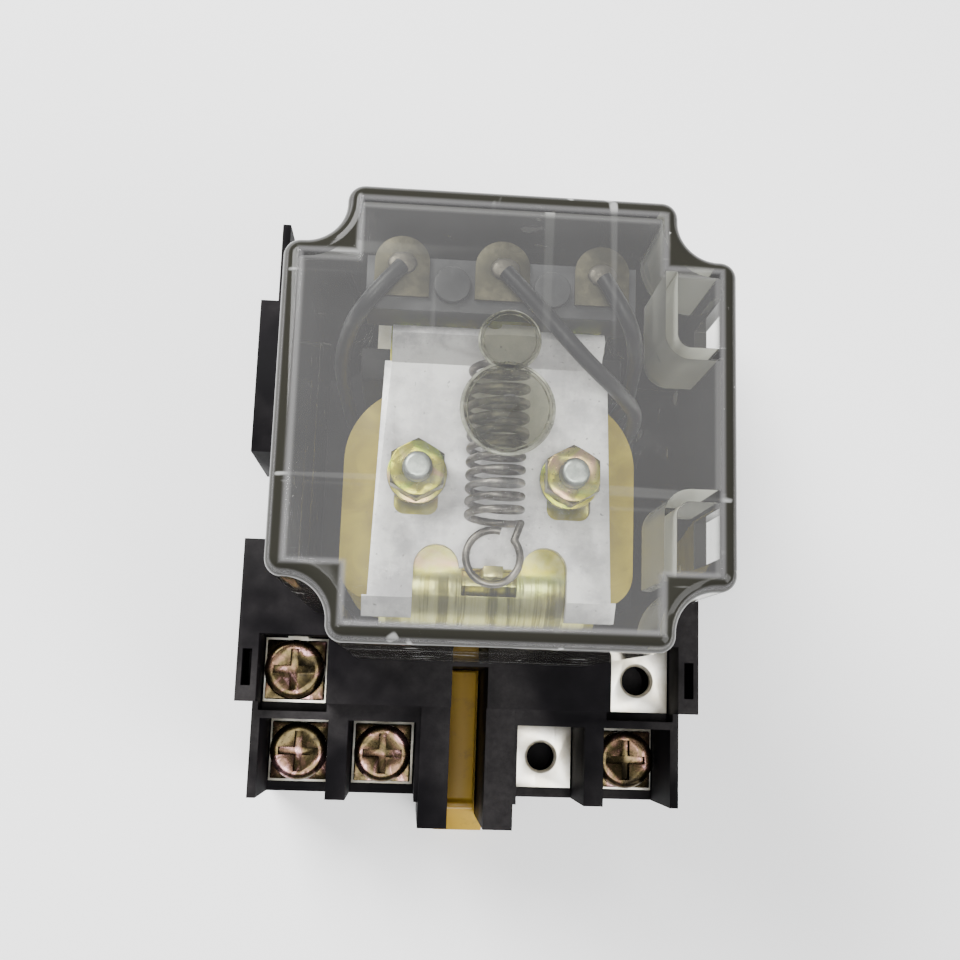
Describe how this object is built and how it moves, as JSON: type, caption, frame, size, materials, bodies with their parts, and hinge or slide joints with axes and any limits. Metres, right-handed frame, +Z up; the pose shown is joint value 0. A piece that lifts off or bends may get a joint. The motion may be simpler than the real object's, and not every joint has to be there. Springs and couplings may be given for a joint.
{
  "type": "plug-in relay with socket",
  "caption": "Square plug-in changeover relay under a clear notched cover, standing in a black two-tier screw-terminal socket for a mounting rail.",
  "frame": {"origin": "middle of the socket's footprint, on the panel plane", "axes": "+Z up the plug axis, +Y along the socket away from the rail slider, +X across the socket"},
  "size_m": [0.054, 0.075, 0.0733],
  "materials": {
    "black_socket": "moulded, slightly dusty",
    "black_phenolic": "moulded phenolic",
    "mustard_plastic": "moulded nylon",
    "clear_cover": "clear, faintly smoky moulding",
    "coil_plastic": "moulded nylon",
    "yellow_tape": "wrapped insulating tape",
    "plated_brass": "pale nickel plate",
    "brass_pin": "bright",
    "spring_bronze": "tarnished bronze",
    "copper_wire": "enamelled copper",
    "yellow_zinc": "yellow chromate over zinc",
    "clear_zinc": "blue-white zinc",
    "dark_steel": "oiled spring steel",
    "bare_steel": "soft iron",
    "silver_contact": "silver alloy",
    "aluminium_plate": "satin, tumbled",
    "lead_insulation": "soft black insulation"
  },
  "bodies": {
    "socket": {"socket_body": "black_socket", "socket_base_plate": "black_socket", "socket_rivets": "clear_zinc", "terminal_strips": "plated_brass", "pin_sleeves": "brass_pin", "terminal_screws": "yellow_zinc", "terminal_clamps": "yellow_zinc"},
    "slider": {"rail_slider": "mustard_plastic"},
    "relay": {"relay_base": "black_phenolic", "relay_key": "black_phenolic", "relay_pins": "brass_pin", "frame_screws": "clear_zinc", "yoke": "yellow_zinc", "core": "bare_steel", "bobbin": "coil_plastic", "coil_winding": "copper_wire", "coil_tape": "yellow_tape", "coil_leads": "copper_wire", "contact_block": "black_phenolic", "nc_contact_strips": "plated_brass", "no_contact_strips": "plated_brass", "fixed_contacts": "silver_contact", "flexible_leads": "lead_insulation"},
    "armature_set": {"armature": "yellow_zinc", "armature_studs": "clear_zinc", "adjusting_plate": "aluminium_plate", "flat_washers": "yellow_zinc", "spring_washers": "dark_steel", "stud_nuts": "yellow_zinc", "contact_carrier": "black_phenolic", "carrier_rivets": "clear_zinc", "moving_contact_arms": "spring_bronze", "moving_contacts": "silver_contact", "return_spring": "dark_steel"},
    "clear_cover": {"cover": "clear_cover"}
  },
  "joints": [
    {"name": "relay_unplug", "type": "slide", "parent": "socket", "child": "relay", "axis": [0, 0, 1], "range_m": [0, 0.02]},
    {"name": "cover_lift", "type": "slide", "parent": "relay", "child": "clear_cover", "axis": [0, 0, 1], "range_m": [0, 0.046]},
    {"name": "armature_pull_in", "type": "hinge", "parent": "relay", "child": "armature_set", "pos_m": [-0.0006, -0.0119, 0.06175], "axis": [1, 0, 0], "range_deg": [-4, 0], "stiffness_Nm_per_rad": 0.05, "springref_deg": 5.73, "deforming": ["return_spring", "flexible_leads"]},
    {"name": "slider_release", "type": "slide", "parent": "socket", "child": "slider", "axis": [0, -1, 0], "range_m": [0, 0.004], "stiffness_N_per_m": 300, "springref_m": -0.003}
  ]
}
